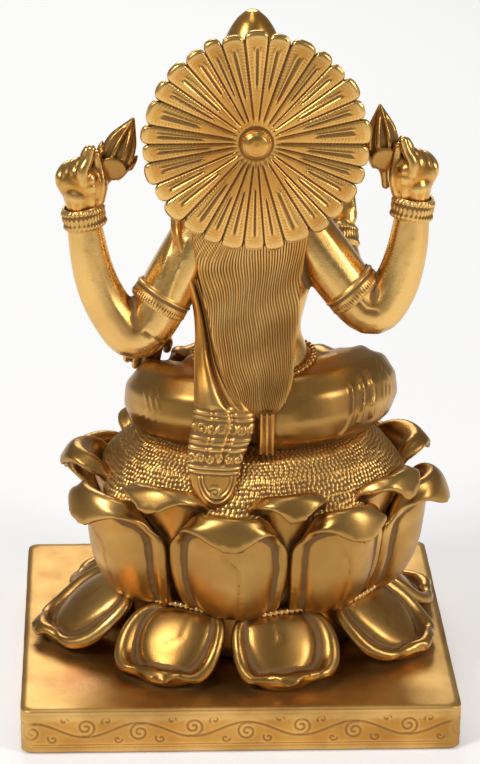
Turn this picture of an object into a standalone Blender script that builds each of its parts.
"""Cast brass seated idol: a four-armed figure on a two-tier lotus seat, over a hollow plinth.

Lengths are millimetres until a mesh is made. The origin is the bottom centre of the plinth,
+Z is up, and the figure faces -Y, so that its back and its halo are on the +Y side.
"""

import math

import bmesh
import bpy
import numpy as np
from mathutils import Matrix, Vector

MM = 0.001
GAP = 0.35

# Plinth
PLINTH_WIDTH = 200.0
PLINTH_DEPTH = 170.0
PLINTH_HEIGHT = 22.0
PLINTH_WALL = 4.0
PLINTH_CORNER = 5.0

# Lotus seat, an oval body of revolution: depth is width times LOTUS_OVAL
LOTUS_X = -7.0
LOTUS_Y = 0.0
LOTUS_OVAL = 0.74
LOTUS_WALL = 5.0
SEAT_TOP = 127.5
WAIST_HEIGHT = 51.0

# Directions of the petals, degrees from +X towards +Y, one list for each ring
LOWER_PETALS = (13.0, 66.0, 100.0, 150.0, 203.0, 257.0, 315.0)
OUTER_PETALS = (30.0, 83.0, 121.0, 166.0, 222.0, 279.0, 335.0)
INNER_PETALS = (57.0, 102.0, 144.0, 198.0, 251.0, 307.0, 358.0)
LOWER_RING_X = -3.5

# Figure
FIGURE_X = -6.0
NECK_TOP = 250.0
HEAD_CENTRE = (-5.5, -2.0, 266.0)
HEAD_RADII = (15.5, 17.5, 19.5)
CROWN_BASE = 277.0
CROWN_TIP = 323.5

# Halo and its dome screw, turning about one axis along Y
HALO_CENTRE = (-5.5, 0.0, 271.0)
HALO_RADIUS = 50.6
HALO_BACK = 27.6
HALO_THICKNESS = 2.6
HALO_PETALS = 30
SCREW_RADIUS = 2.5
SCREW_LENGTH = 14.0
DOME_RADIUS = 6.7
DOME_HEIGHT = 4.6
BOSS_RADIUS = 7.0

# Tie rod that holds the figure, the lotus seat and the plinth together
ROD_X = -7.0
ROD_Y = 0.0
ROD_RADIUS = 4.0
ROD_LOW = 5.0
ROD_HIGH = 140.0
NUT_ACROSS_CORNERS = 15.0
NUT_HEIGHT = 6.5
WASHER_RADIUS = 10.0
WASHER_THICKNESS = 2.0


# ---------------------------------------------------------------- materials and objects

def make_material(name, colour, roughness):
    material = bpy.data.materials.new(name)
    material.use_nodes = True
    shader = material.node_tree.nodes["Principled BSDF"]
    shader.inputs["Base Color"].default_value = (*colour, 1.0)
    shader.inputs["Metallic"].default_value = 1.0
    shader.inputs["Roughness"].default_value = roughness
    return material


def clear_scene():
    for item in list(bpy.data.objects):
        bpy.data.objects.remove(item, do_unlink=True)


def add_object(name, bm, material=None, smooth_angle=50.0):
    """Turn a bmesh in millimetres into a named object in metres."""
    bmesh.ops.remove_doubles(bm, verts=bm.verts, dist=0.001)
    bmesh.ops.recalc_face_normals(bm, faces=bm.faces)
    bmesh.ops.scale(bm, vec=(MM, MM, MM), verts=bm.verts)
    mesh = bpy.data.meshes.new(name)
    bm.to_mesh(mesh)
    bm.free()
    mesh.shade_smooth()
    mesh.set_sharp_from_angle(angle=math.radians(smooth_angle))
    item = bpy.data.objects.new(name, mesh)
    bpy.context.scene.collection.objects.link(item)
    if material is not None:
        item.data.materials.append(material)
    return item


def apply_modifiers(item):
    bpy.context.view_layer.update()
    depsgraph = bpy.context.evaluated_depsgraph_get()
    mesh = bpy.data.meshes.new_from_object(item.evaluated_get(depsgraph))
    item.modifiers.clear()
    item.data = mesh
    mesh.name = item.name


def drop(item):
    bpy.data.objects.remove(item, do_unlink=True)


def boolean(item, tool, operation):
    modifier = item.modifiers.new(operation.lower(), "BOOLEAN")
    modifier.operation = operation
    modifier.solver = "EXACT"
    modifier.object = tool
    apply_modifiers(item)


def join_solids(name, solids, material):
    """Union several closed objects into one named casting."""
    first = solids[0]
    for other in solids[1:]:
        boolean(first, other, "UNION")
        drop(other)
    first.name = name
    first.data.materials.clear()
    first.data.materials.append(material)
    keep_largest(first)
    return first


def swollen_copy(item, gap=GAP):
    """A copy of a casting, grown by the joint gap along its normals."""
    copy = item.copy()
    copy.data = item.data.copy()
    bpy.context.scene.collection.objects.link(copy)
    bm = bmesh.new()
    bm.from_mesh(copy.data)
    bm.normal_update()
    for vertex in bm.verts:
        vertex.co += vertex.normal * gap * MM
    bm.to_mesh(copy.data)
    bm.free()
    return copy


def fit_against(item, neighbours, gap=GAP):
    """Cut a casting back so that it seats on its neighbours with the joint gap."""
    for neighbour in neighbours:
        tool = swollen_copy(neighbour, gap)
        boolean(item, tool, "DIFFERENCE")
        drop(tool)
    keep_largest(item)


def spread(vertices):
    """The sum of the three sides of the box round some vertices."""
    places = np.array([vertex.co for vertex in vertices])
    return float(np.ptp(places, axis=0).sum())


def keep_largest(item):
    """Leave only the largest connected body."""
    bm = bmesh.new()
    bm.from_mesh(item.data)
    islands = []
    waiting = set(bm.verts)
    while waiting:
        stack = [waiting.pop()]
        island = set(stack)
        while stack:
            for edge in stack.pop().link_edges:
                for vertex in edge.verts:
                    if vertex in waiting:
                        waiting.discard(vertex)
                        island.add(vertex)
                        stack.append(vertex)
        islands.append(island)
    islands.sort(key=spread)
    for island in islands[:-1]:
        bmesh.ops.delete(bm, geom=list(island), context="VERTS")
    bm.to_mesh(item.data)
    bm.free()
    item.data.shade_smooth()
    item.data.set_sharp_from_angle(angle=math.radians(50.0))


# ---------------------------------------------------------------- shape helpers

def smooth_through(rows, steps):
    """Catmull-Rom curve through rows of numbers, with the given steps in each span."""
    rows = [np.array(row, dtype=float) for row in rows]
    padded = [2 * rows[0] - rows[1], *rows, 2 * rows[-1] - rows[-2]]
    result = []
    for index in range(len(rows) - 1):
        before, start, end, after = padded[index:index + 4]
        for step in range(steps):
            t = step / steps
            slope = end - before
            result.append(0.5 * (2 * start + slope * t
                                 + (2 * before - 5 * start + 4 * end - after) * t * t
                                 + (3 * start - before - 3 * end + after) * t ** 3))
    result.append(rows[-1])
    return result


def skin_rings(bm, rings):
    """Bridge a list of rings of points, with a flat cap on the first and the last."""
    rows = [[bm.verts.new(point) for point in ring] for ring in rings]
    count = len(rows[0])
    for low, high in zip(rows, rows[1:]):
        for index in range(count):
            after = (index + 1) % count
            bm.faces.new((low[index], low[after], high[after], high[index]))
    bm.faces.new(list(reversed(rows[0])))
    bm.faces.new(rows[-1])


def limb(name, rows, steps=3, sides=10, flat=1.0, flat_axis=(0.0, 1.0, 0.0)):
    """A rounded limb through rows of (x, y, z, radius). flat squashes it along flat_axis."""
    samples = smooth_through(rows, steps)
    centres = [Vector(sample[:3]) for sample in samples]
    radii = [float(sample[3]) for sample in samples]
    first = (centres[0] - centres[1]).normalized()
    last = (centres[-1] - centres[-2]).normalized()
    centres = [centres[0] + first * radii[0] * 0.55, *centres, centres[-1] + last * radii[-1] * 0.55]
    radii = [radii[0] * 0.62, *radii, radii[-1] * 0.62]
    rings = []
    side = None
    for index, centre in enumerate(centres):
        ahead = centres[min(index + 1, len(centres) - 1)]
        behind = centres[max(index - 1, 0)]
        along = (ahead - behind).normalized()
        if side is None:
            side = along.cross(Vector(flat_axis)).normalized()
        side = (side - along * side.dot(along)).normalized()
        across = along.cross(side)
        ring = []
        for step in range(sides):
            turn = 2 * math.pi * (step + 0.5) / sides
            offset = side * math.cos(turn) + across * math.sin(turn) * flat
            ring.append(centre + offset * radii[index])
        rings.append(ring)
    bm = bmesh.new()
    skin_rings(bm, rings)
    return add_object(name, bm)


def oval_loft(name, rows, sides=18, steps=2, power=2.0, material=None):
    """A body through level rows of (z, centre x, centre y, half width, half depth)."""
    rings = []
    for z, x, y, wide, deep in smooth_through(rows, steps):
        ring = []
        for step in range(sides):
            turn = 2 * math.pi * step / sides
            c, s = math.cos(turn), math.sin(turn)
            c = math.copysign(abs(c) ** (2.0 / power), c)
            s = math.copysign(abs(s) ** (2.0 / power), s)
            ring.append((x + wide * c, y + deep * s, z))
        rings.append(ring)
    bm = bmesh.new()
    skin_rings(bm, rings)
    return add_object(name, bm, material)


def ball(name, centre, radii, segments=14, rings=8):
    bm = bmesh.new()
    bmesh.ops.create_uvsphere(bm, u_segments=segments, v_segments=rings, radius=1.0)
    bmesh.ops.scale(bm, vec=radii, verts=bm.verts)
    bmesh.ops.translate(bm, vec=centre, verts=bm.verts)
    return add_object(name, bm)


def turned(name, profile, place, sides=24, material=None):
    """Turn an open profile of (radius, height) about +Z, then move it by a matrix."""
    bm = bmesh.new()
    rings = []
    for radius, height in profile:
        if radius <= 0.0:
            rings.append([bm.verts.new((0.0, 0.0, height))])
            continue
        ring = []
        for step in range(sides):
            turn = 2 * math.pi * step / sides
            ring.append(bm.verts.new((radius * math.cos(turn), radius * math.sin(turn), height)))
        rings.append(ring)
    closed = profile[0][0] > 0.0
    pairs = list(zip(rings, rings[1:]))
    if closed:
        pairs.append((rings[-1], rings[0]))
    for low, high in pairs:
        for index in range(sides):
            after = (index + 1) % sides
            corners = [low[index % len(low)], low[after % len(low)],
                       high[after % len(high)], high[index % len(high)]]
            bm.faces.new(list(dict.fromkeys(corners)))
    bmesh.ops.transform(bm, matrix=place, verts=bm.verts)
    return add_object(name, bm, material)


def aim(point, direction):
    """A matrix that carries +Z onto a direction and the origin onto a point."""
    turn = Vector((0.0, 0.0, 1.0)).rotation_difference(Vector(direction).normalized())
    return Matrix.Translation(Vector(point)) @ turn.to_matrix().to_4x4()


def rounded_rectangle(width, depth, radius, corner_steps=4):
    points = []
    for quarter in range(4):
        x = (width / 2 - radius) * (1 if quarter in (0, 3) else -1)
        y = (depth / 2 - radius) * (1 if quarter in (0, 1) else -1)
        for step in range(corner_steps + 1):
            turn = math.radians(90 * (quarter + step / corner_steps))
            points.append((x + radius * math.cos(turn), y + radius * math.sin(turn)))
    return points


# ---------------------------------------------------------------- plinth and lotus seat

def bore_for_rod(item, low, high):
    """Bore a casting for the tie rod between two heights."""
    radius = ROD_RADIUS + 0.5
    bore = turned("bore", [(0, low), (radius, low), (radius, high), (0, high)],
                  Matrix.Translation((ROD_X, ROD_Y, 0)))
    boolean(item, bore, "DIFFERENCE")
    drop(bore)


def make_plinth(material):
    """A hollow cast plinth, open below, with a bore for the tie rod in its top plate."""
    inner_width = PLINTH_WIDTH - 2 * PLINTH_WALL
    inner_depth = PLINTH_DEPTH - 2 * PLINTH_WALL
    inner_top = PLINTH_HEIGHT - PLINTH_WALL
    edge = 0.8
    levels = (
        (inner_width, inner_depth, PLINTH_CORNER - 1.0, inner_top),
        (inner_width, inner_depth, PLINTH_CORNER - 1.0, 0.0),
        (PLINTH_WIDTH, PLINTH_DEPTH, PLINTH_CORNER, 0.0),
        (PLINTH_WIDTH, PLINTH_DEPTH, PLINTH_CORNER, PLINTH_HEIGHT - edge),
        (PLINTH_WIDTH - 2 * edge, PLINTH_DEPTH - 2 * edge, PLINTH_CORNER - edge, PLINTH_HEIGHT),
    )
    rings = []
    for width, depth, radius, z in levels:
        rings.append([(x, y, z) for x, y in rounded_rectangle(width, depth, radius)])
    bm = bmesh.new()
    skin_rings(bm, rings)
    plinth = add_object("plinth", bm, material, smooth_angle=30.0)
    bore_for_rod(plinth, 0.0, PLINTH_HEIGHT + 10.0)
    return plinth


def lotus_ring(reach, height, sides):
    ring = []
    for step in range(sides):
        turn = 2 * math.pi * step / sides
        x = LOTUS_X + reach * math.cos(turn)
        y = LOTUS_Y + reach * LOTUS_OVAL * math.sin(turn)
        ring.append((x, y, height))
    return ring


def make_lotus_seat(material):
    """The hollow oval body of the lotus, with its seed-head seat on top."""
    base = PLINTH_HEIGHT + GAP
    outline = (
        (54.0, base), (56.0, WAIST_HEIGHT), (56.5, 70.0), (58.0, 90.0), (65.0, 101.5),
        (67.5, 107.0), (66.0, 113.5), (61.0, 120.0), (53.0, 125.0), (40.0, SEAT_TOP),
    )
    inside = [(reach - LOTUS_WALL, height) for reach, height in outline[:4]]
    inside += [(56.0, 107.0), (34.0, SEAT_TOP - LOTUS_WALL)]
    sides = 30
    rings = [lotus_ring(reach, height, sides) for reach, height in reversed(inside)]
    rings += [lotus_ring(reach, height, sides) for reach, height in outline]
    bm = bmesh.new()
    skin_rings(bm, rings)
    seat = add_object("lotus_seat", bm, material)
    bore_for_rod(seat, SEAT_TOP - 15.0, SEAT_TOP + 15.0)
    return seat


# Each profile runs from a petal's root to its tip: (reach, height, width share, side fall)
LOWER_PROFILE = (
    (60.5, 46.0, 0.80, 0.0), (70.0, 40.5, 1.00, 2.5), (81.0, 32.5, 0.96, 2.5),
    (89.5, 26.8, 0.78, 0.5), (95.0, 28.0, 0.42, 0.0),
)
OUTER_PROFILE = (
    (62.5, 53.0, 0.76, 0.0), (70.5, 62.0, 0.94, 1.0), (76.0, 76.0, 1.00, 1.0),
    (77.0, 92.0, 0.98, 2.0), (78.0, 103.0, 0.90, 5.0), (83.5, 105.5, 0.72, 3.0), (90.5, 97.0, 0.36, 0.0),
)
INNER_PROFILE = (
    (60.0, 63.0, 0.70, 0.0), (62.5, 80.0, 0.90, 0.0), (68.5, 96.0, 0.94, 1.0),
    (72.0, 106.5, 0.86, 2.0), (75.5, 113.8, 0.66, 2.0), (80.5, 114.0, 0.48, 1.0), (87.0, 109.0, 0.20, 0.0),
)


def make_petal(name, direction, shares, profile, centre_x, thickness, material):
    """One cast petal: a curved tongue across its share of the oval, with a falling edge."""
    columns = (-1.0, -0.6, 0.0, 0.6, 1.0)
    bm = bmesh.new()
    grid = []
    for reach, height, width, fall in profile:
        row = []
        for column in columns:
            share = shares[1] if column > 0 else shares[0]
            angle = math.radians(direction + share * width * column)
            out = reach - 1.5 * column * column
            x = centre_x + out * math.cos(angle)
            y = LOTUS_Y + out * LOTUS_OVAL * math.sin(angle)
            row.append(bm.verts.new((x, y, height - fall * column * column)))
        grid.append(row)
    for low, high in zip(grid, grid[1:]):
        for index in range(len(columns) - 1):
            bm.faces.new((low[index], low[index + 1], high[index + 1], high[index]))
    petal = add_object(name, bm, material)
    solid = petal.modifiers.new("thickness", "SOLIDIFY")
    solid.thickness = thickness * MM
    solid.offset = 0.0
    solid.use_even_offset = False
    apply_modifiers(petal)
    petal.data.shade_smooth()
    petal.data.set_sharp_from_angle(angle=math.radians(50.0))
    return petal


def make_petals(prefix, directions, profile, centre_x, thickness, material):
    """One ring of petals, each filling its share of the ring up to a narrow gap."""
    clearance = 1.5
    petals = []
    count = len(directions)
    for index, direction in enumerate(directions):
        before = directions[index - 1] - (360.0 if index == 0 else 0.0)
        after = directions[(index + 1) % count] + (360.0 if index == count - 1 else 0.0)
        shares = ((direction - before) / 2 - clearance, (after - direction) / 2 - clearance)
        name = f"{prefix}_{index + 1}"
        petals.append(make_petal(name, direction, shares, profile, centre_x, thickness, material))
    return petals


# ---------------------------------------------------------------- figure

RIGHT_BUTTOCK = ((-23, 16, 141), (21.5, 21.5, 21.0))
LEFT_BUTTOCK = ((9, 15, 140), (20.5, 20.0, 20.5))
PELVIS = ((-7, 9, 150), (30, 20, 19))
RIGHT_THIGH = ((-24, 12, 142, 20), (-43, 5, 141, 20), (-56, -8, 138.5, 19), (-57, -26, 134, 15.5))
LEFT_THIGH = ((10, 12, 141, 19.5), (27, 5, 137, 18.5), (35, -8, 135, 17.5), (36, -26, 132, 14.5))
RIGHT_SHIN = ((-57, -28, 133, 14), (-40, -43, 134, 12.5), (-14, -46, 136, 10), (6, -44, 137, 8))
LEFT_SHIN = ((36, -28, 131, 13), (20, -38, 129, 12), (-4, -36, 129, 11), (-26, -32, 130, 9))
RIGHT_FOOT = ((4, -44, 138, 7.5), (16, -40, 142, 7.5), (27, -34, 145, 6))
LEFT_FOOT = ((-26, -34, 132, 8), (-36, -44, 132, 7.5), (-44, -50, 131, 6))

TORSO = (
    (150, -7, 8, 29, 21), (163, -7, 7, 26, 18), (175, -6, 5, 22.5, 15.5), (188, -6, 4, 24.5, 16),
    (203, -6, 3, 28.5, 17), (217, -6, 3, 32, 17), (228, -5.5, 4, 32, 14), (235, -5.5, 4, 23, 11),
    (240, -5.5, 3, 11, 9.5), (NECK_TOP, -5.5, 0, 9, 9),
)

REAR_RIGHT_ARM = ((-29, 4, 223, 13), (-43, 9, 205, 12.8), (-59, 13, 187.5, 12),
                  (-69, 13, 197, 10.8), (-74.5, 13, 215, 9.5), (-77, 13, 237.5, 7.6))
REAR_LEFT_ARM = ((16, 4, 224, 13), (28.5, 8, 203, 13), (45, 13, 176.5, 12),
                 (57.5, 13, 186.5, 10.8), (66, 13, 207, 9.5), (70.5, 13, 233.5, 7.6))
FRONT_RIGHT_ARM = ((-27, -6, 216, 11), (-40, -14, 202, 10.5), (-49, -20, 191, 10),
                   (-50, -32, 195, 8.5), (-49, -38, 204, 6.8))
FRONT_LEFT_ARM = ((15, -6, 215, 11), (28, -12, 197, 10.5), (37, -16, 182, 9.5),
                  (40, -20, 172, 8), (41, -23, 165, 6.6))


def make_legs(seat, material):
    solids = [
        ball("pelvis", *PELVIS),
        ball("right_buttock", *RIGHT_BUTTOCK),
        ball("left_buttock", *LEFT_BUTTOCK),
        limb("right_thigh", RIGHT_THIGH, steps=2, sides=12),
        limb("left_thigh", LEFT_THIGH, steps=2, sides=12),
        limb("right_shin", RIGHT_SHIN, steps=2),
        limb("left_shin", LEFT_SHIN, steps=2),
        limb("right_foot", RIGHT_FOOT, steps=1, sides=8),
        limb("left_foot", LEFT_FOOT, steps=1, sides=8),
    ]
    legs = join_solids("crossed_legs", solids, material)
    fit_against(legs, [seat])
    bore_for_rod(legs, SEAT_TOP - 15.0, ROD_HIGH + 0.5)
    return legs


def make_torso(material):
    body = oval_loft("torso", TORSO)
    solids = [body]
    for side in (-1, 1):
        solids.append(ball("chest", (FIGURE_X + side * 12.5, -11, 209), (11, 10, 10.5)))
    return join_solids("torso", solids, material)


def make_head(torso, material):
    """The head, with the boss behind it that the halo is screwed against."""
    x, y, z = HEAD_CENTRE
    boss_end = HALO_BACK - HALO_THICKNESS - GAP
    boss = turned("boss", [(0, 2), (BOSS_RADIUS, 2), (BOSS_RADIUS, boss_end), (0, boss_end)],
                  aim((HALO_CENTRE[0], 0, HALO_CENTRE[2]), (0, 1, 0)), sides=18)
    skull = ball("skull", (x, y + 1, z + 4), (HEAD_RADII[0], HEAD_RADII[1] - 1, HEAD_RADII[2] - 3))
    jaw = ball("jaw", (x, y - 5, z - 7), (11.5, 11, 12.5), segments=12, rings=7)
    head = join_solids("head", [skull, jaw, boss], material)
    bore_radius = SCREW_RADIUS + 0.4
    bore_start = HALO_BACK - SCREW_LENGTH - 1.0
    bore = turned("bore", [(0, bore_start), (bore_radius, bore_start), (bore_radius, 40), (0, 40)],
                  aim((HALO_CENTRE[0], 0, HALO_CENTRE[2]), (0, 1, 0)), sides=14)
    boolean(head, bore, "DIFFERENCE")
    drop(bore)
    fit_against(head, [torso])
    return head


def make_crown(head, material):
    x, y, _ = HEAD_CENTRE
    rise = CROWN_TIP - CROWN_BASE
    profile = [(0, 0), (16.8, 0), (17.4, 0.10 * rise), (16.2, 0.22 * rise), (14.6, 0.40 * rise),
               (13.0, 0.58 * rise), (10.6, 0.74 * rise), (6.6, 0.89 * rise), (0, rise)]
    crown = turned("crown", profile, Matrix.Translation((x + 1.0, y + 1.0, CROWN_BASE)), sides=20,
                   material=material)
    fit_against(crown, [head])
    return crown


def make_hair(neighbours, material):
    """The long hair down the back: a thick sheet shaped to the back it lies on."""
    rows = (
        (144.5, -8.5, 34.5, 5, 3.5), (150, -8.5, 33.5, 11, 5), (160, -8, 30, 15.5, 6.5), (174, -6.5, 26.5, 18, 7),
        (190, -5.5, 22, 20.5, 6.5), (210, -4, 18.8, 23.5, 5.8), (228, -4, 18, 26, 6), (240, -4.5, 16.3, 23, 7.5),
        (252, -5.5, 13, 17, 10), (264, -5.5, 11, 17, 10.5), (277, -5.5, 9, 15, 9),
    )
    hair = oval_loft("hair_fall", rows, sides=16, steps=1, power=2.4, material=material)
    fit_against(hair, neighbours, 2 * GAP)
    return hair


def make_sash(neighbours, material):
    """The folded shawl that comes down from the left shoulder and hangs over the seat."""
    rows = (
        (105, 9, 49.5, 2.5, 2.0), (111, 12, 49, 8.5, 2.4), (121, 12.5, 46.5, 11, 2.8), (131, 10, 42, 13, 4.0),
        (145, 7.5, 36, 14.0, 5.0), (158, 11.5, 31, 9.0, 6.0), (175, 16.5, 24, 7.0, 6.0), (196, 22, 20, 6.0, 5.5),
        (215, 25, 18.5, 6.5, 5.5),
    )
    sash = oval_loft("sash", rows, sides=14, steps=1, power=2.6, material=material)
    fit_against(sash, neighbours, 0.45)
    return sash


def make_belt_tail(neighbours, material):
    """The short pleated end of the belt that shows under the tip of the hair."""
    rows = ((129, -12, 37.5, 3.6, 2.0), (136, -12, 38, 3.8, 3.0), (144, -11.5, 37, 3.8, 3.0))
    tail = oval_loft("belt_tail", rows, sides=10, power=3.0, material=material)
    fit_against(tail, neighbours)
    return tail


def arm_end(rows):
    """The wrist end of an arm: its last point, its direction and its radius."""
    last = Vector(rows[-1][:3])
    before = Vector(rows[-2][:3])
    return last, (last - before).normalized(), rows[-1][3]


def make_arm(name, rows, material):
    """An arm with a square-cut wrist, so that its hand can be joined there."""
    arm = limb(name, rows, steps=3, sides=12)
    wrist, along, radius = arm_end(rows)
    slab = turned("slab", [(0, 0), (3 * radius, 0), (3 * radius, 30), (0, 30)], aim(wrist, along), sides=8)
    boolean(arm, slab, "DIFFERENCE")
    drop(slab)
    arm.data.materials.clear()
    arm.data.materials.append(material)
    return arm


def make_bangle(name, rows, neighbours, material):
    """Two ridges on one ring round the wrist, across the joint of arm and hand."""
    wrist, along, radius = arm_end(rows)
    inner = radius + 0.7
    outer = radius + 2.6
    half = 5.0
    profile = [(inner, -half), (outer - 0.8, -half), (outer, -0.5 * half), (outer - 0.6, 0.0),
               (outer, 0.5 * half), (outer - 0.8, half), (inner, half)]
    bangle = turned(name, profile, aim(wrist - along * 1.0, along), sides=20, material=material)
    fit_against(bangle, neighbours)
    return bangle


def make_armlet(name, rows, station, radius, neighbours, material):
    """A band round the upper arm between its second and third stations."""
    start = Vector(rows[1][:3])
    end = Vector(rows[2][:3])
    along = (end - start).normalized()
    centre = start.lerp(end, station)
    profile = [(radius, -2.4), (radius + 1.2, -2.4), (radius + 1.6, 0.0), (radius + 1.2, 2.4), (radius, 2.4)]
    armlet = turned(name, profile, aim(centre, along), sides=20, material=material)
    fit_against(armlet, neighbours)
    return armlet


def hand_frame(rows, palm_side):
    """Wrist point, direction of the hand and the direction its palm faces."""
    wrist, along, _ = arm_end(rows)
    facing = Vector(palm_side)
    facing = (facing - along * facing.dot(along)).normalized()
    return wrist, along, facing


def make_fist(name, rows, palm_side, material):
    """A closed hand that pinches a lotus stem between its thumb and forefinger."""
    wrist, along, facing = hand_frame(rows, palm_side)
    across = along.cross(facing)

    def place(out, side, front, radius):
        point = wrist + along * out + across * side + facing * front
        return (*point, radius)

    solids = [limb("palm", (place(4.2, 0, 0, 6.6), place(11, 0, 0, 9.6), place(18, 0, 0.5, 8.6)),
                   steps=1, sides=10, flat=0.75, flat_axis=tuple(facing))]
    for index in range(4):
        side = -7.2 + 4.8 * index
        reach = 20.5 + 1.5 * index
        path = (place(14, side, 0, 3.1), place(reach, side, 2.0, 3.1),
                place(reach - 1, side, 8.5, 2.8), place(reach - 9, side, 9.5, 2.5))
        solids.append(limb("finger", path, steps=1, sides=6))
    thumb = (place(8, 6.5, 2, 3.2), place(15, 9.5, 6.5, 2.9), place(22, 8.5, 9.5, 2.4))
    solids.append(limb("thumb", thumb, steps=1, sides=6))
    return join_solids(name, solids, material)


def make_open_hand(name, rows, palm_side, material):
    """An open hand, flat, with its four fingers together."""
    wrist, along, facing = hand_frame(rows, palm_side)
    across = along.cross(facing)

    def place(out, side, front, radius):
        point = wrist + along * out + across * side + facing * front
        return (*point, radius)

    solids = [limb("palm", (place(3.8, 0, 0, 6.0), place(9, 0, 0, 8.4), place(16, 0, 0, 8.6)),
                   steps=1, sides=10, flat=0.5, flat_axis=tuple(facing))]
    lengths = (25.0, 28.5, 30.0, 28.0)
    for index, length in enumerate(lengths):
        side = -6.6 + 4.4 * index
        path = (place(13, side, 0, 2.6), place(0.5 * (13 + length), side, 0.3, 2.5), place(length, side, 0.8, 2.0))
        solids.append(limb("finger", path, steps=1, sides=6))
    thumb = (place(5, 7, 1, 3.0), place(12, 11, 2.5, 2.7), place(18, 11.5, 4, 2.2))
    solids.append(limb("thumb", thumb, steps=1, sides=6))
    return join_solids(name, solids, material)


def make_bud(name, base, direction, material):
    """A pointed lotus bud on a cup of sepals, with a short stem."""
    profile = [(0, -9), (1.9, -9), (2.1, -2), (6.0, 0), (8.4, 4.5), (6.2, 8.0), (7.2, 12), (6.6, 17),
               (4.4, 23), (1.8, 28), (0, 30.5)]
    return turned(name, profile, aim(base, direction), sides=12, material=material)


# ---------------------------------------------------------------- halo and fasteners

def make_halo(material):
    """A round plate with a scalloped rim, one scallop for each of its petals."""
    points_per_petal = 4
    bm = bmesh.new()
    rings = []
    front = -HALO_THICKNESS
    for radius, depth, scallop in ((SCREW_RADIUS + 0.5, front, 0), (HALO_RADIUS, front, 1),
                                   (HALO_RADIUS, 0.0, 1), (SCREW_RADIUS + 0.5, 0.0, 0)):
        ring = []
        for step in range(HALO_PETALS * points_per_petal):
            turn = 2 * math.pi * step / (HALO_PETALS * points_per_petal)
            phase = (step % points_per_petal) / points_per_petal
            dip = scallop * 2.2 * abs(math.cos(math.pi * phase)) ** 2
            reach = radius - dip
            ring.append(bm.verts.new((reach * math.cos(turn), reach * math.sin(turn), depth)))
        rings.append(ring)
    count = len(rings[0])
    for low, high in zip(rings, rings[1:] + rings[:1]):
        for index in range(count):
            after = (index + 1) % count
            bm.faces.new((low[index], low[after], high[after], high[index]))
    bmesh.ops.transform(bm, matrix=aim((HALO_CENTRE[0], HALO_BACK, HALO_CENTRE[2]), (0, 1, 0)), verts=bm.verts)
    return add_object("halo_disc", bm, material, smooth_angle=30.0)


def make_halo_screw(material):
    profile = [(0, -SCREW_LENGTH), (SCREW_RADIUS, -SCREW_LENGTH), (SCREW_RADIUS, GAP), (DOME_RADIUS, GAP)]
    steps = 5
    for step in range(1, steps):
        turn = math.pi / 2 * step / steps
        profile.append((DOME_RADIUS * math.cos(turn), GAP + 0.8 + (DOME_HEIGHT - 0.8) * math.sin(turn)))
    profile.append((0, GAP + DOME_HEIGHT))
    place = aim((HALO_CENTRE[0], HALO_BACK, HALO_CENTRE[2]), (0, 1, 0))
    return turned("halo_screw", profile, place, sides=24, material=material)


def make_tie_rod(material):
    profile = [(0, ROD_LOW), (ROD_RADIUS - 0.5, ROD_LOW), (ROD_RADIUS, ROD_LOW + 0.5), (ROD_RADIUS, ROD_HIGH),
               (0, ROD_HIGH)]
    return turned("tie_rod", profile, Matrix.Translation((ROD_X, ROD_Y, 0)), sides=20, material=material)


def make_washer_and_nut(material):
    plate_under = PLINTH_HEIGHT - PLINTH_WALL - GAP
    bore = ROD_RADIUS + 0.4
    washer_low = plate_under - WASHER_THICKNESS
    turned("washer", [(bore, 0), (WASHER_RADIUS, 0), (WASHER_RADIUS, WASHER_THICKNESS), (bore, WASHER_THICKNESS)],
           Matrix.Translation((ROD_X, ROD_Y, washer_low)), material=material)
    nut_low = washer_low - GAP - NUT_HEIGHT
    corner = NUT_ACROSS_CORNERS / 2
    bm = bmesh.new()
    rings = []
    for radius, z in ((bore, 0.0), (corner, 0.0), (corner, NUT_HEIGHT), (bore, NUT_HEIGHT)):
        ring = []
        for step in range(24):
            turn = 2 * math.pi * step / 24
            if radius == corner:
                face = (turn % (math.pi / 3)) - math.pi / 6
                reach = corner * math.cos(math.pi / 6) / math.cos(face)
            else:
                reach = radius
            ring.append(bm.verts.new((ROD_X + reach * math.cos(turn), ROD_Y + reach * math.sin(turn), nut_low + z)))
        rings.append(ring)
    for low, high in zip(rings, rings[1:] + rings[:1]):
        for index in range(24):
            after = (index + 1) % 24
            bm.faces.new((low[index], low[after], high[after], high[index]))
    add_object("nut", bm, material, smooth_angle=30.0)


# ---------------------------------------------------------------- assembly

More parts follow.
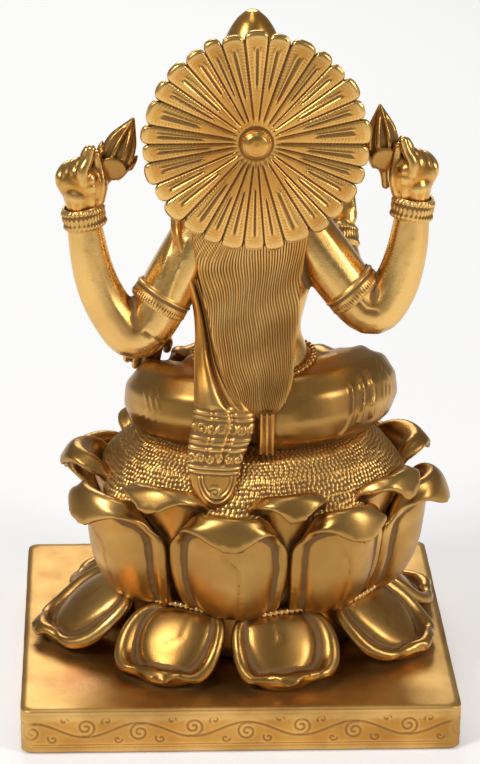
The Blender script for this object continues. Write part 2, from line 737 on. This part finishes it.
def main():
    clear_scene()
    polished = make_material("polished_brass", (0.72, 0.50, 0.20), 0.28)
    antique = make_material("antique_brass", (0.55, 0.38, 0.14), 0.42)
    steel = make_material("zinc_steel", (0.60, 0.60, 0.58), 0.40)

    make_plinth(polished)
    seat = make_lotus_seat(antique)
    lower = make_petals("lower_petal", LOWER_PETALS, LOWER_PROFILE, LOWER_RING_X, 5.0, polished)
    outer = make_petals("outer_petal", OUTER_PETALS, OUTER_PROFILE, LOTUS_X, 3.6, polished)
    inner = make_petals("inner_petal", INNER_PETALS, INNER_PROFILE, LOTUS_X, 2.8, polished)
    for petal in lower:
        fit_against(petal, [seat])
    for index, petal in enumerate(inner):
        fit_against(petal, [outer[index], outer[(index + 1) % len(outer)]], 2 * GAP)

    legs = make_legs(seat, polished)
    torso = make_torso(polished)
    fit_against(torso, [legs])

    arm_rows = {"rear_right": REAR_RIGHT_ARM, "rear_left": REAR_LEFT_ARM,
                "front_right": FRONT_RIGHT_ARM, "front_left": FRONT_LEFT_ARM}
    arms = {side: make_arm(f"{side}_arm", rows, polished) for side, rows in arm_rows.items()}
    fit_against(arms["front_right"], [arms["rear_right"]])
    fit_against(arms["front_left"], [arms["rear_left"]])
    fit_against(torso, list(arms.values()))
    make_armlet("rear_right_armlet", REAR_RIGHT_ARM, 0.50, 13.4,
                [arms["rear_right"], arms["front_right"]], antique)
    left_armlet = make_armlet("rear_left_armlet", REAR_LEFT_ARM, 0.42, 13.6,
                              [arms["rear_left"], arms["front_left"]], antique)

    right_bud = make_bud("right_bud", (-63.5, 6, 255), (0.10, 0, 1), polished)
    left_bud = make_bud("left_bud", (58, 6, 251.5), (-0.42, 0, 1), polished)
    hands = {
        "rear_right": make_fist("rear_right_hand", REAR_RIGHT_ARM, (0.6, -0.8, 0), polished),
        "rear_left": make_fist("rear_left_hand", REAR_LEFT_ARM, (-0.6, -0.8, 0), polished),
        "front_right": make_open_hand("front_right_hand", FRONT_RIGHT_ARM, (0, -1, 0.4), polished),
        "front_left": make_open_hand("front_left_hand", FRONT_LEFT_ARM, (0, -1, 0.4), polished),
    }
    fit_against(hands["rear_right"], [right_bud])
    fit_against(hands["rear_left"], [left_bud])
    fit_against(hands["front_left"], [legs])
    for side, rows in arm_rows.items():
        make_bangle(f"{side}_bangle", rows, [arms[side], hands[side]], antique)

    head = make_head(torso, polished)
    make_crown(head, polished)
    make_halo(polished)
    screw = make_halo_screw(polished)
    hair = make_hair([head, torso, legs, screw, *arms.values()], antique)
    make_sash([torso, legs, seat, hair, left_armlet, inner[0], outer[1], *arms.values()], antique)
    make_belt_tail([legs, seat], antique)

    make_tie_rod(steel)
    make_washer_and_nut(steel)


if __name__ == "__main__":
    main()
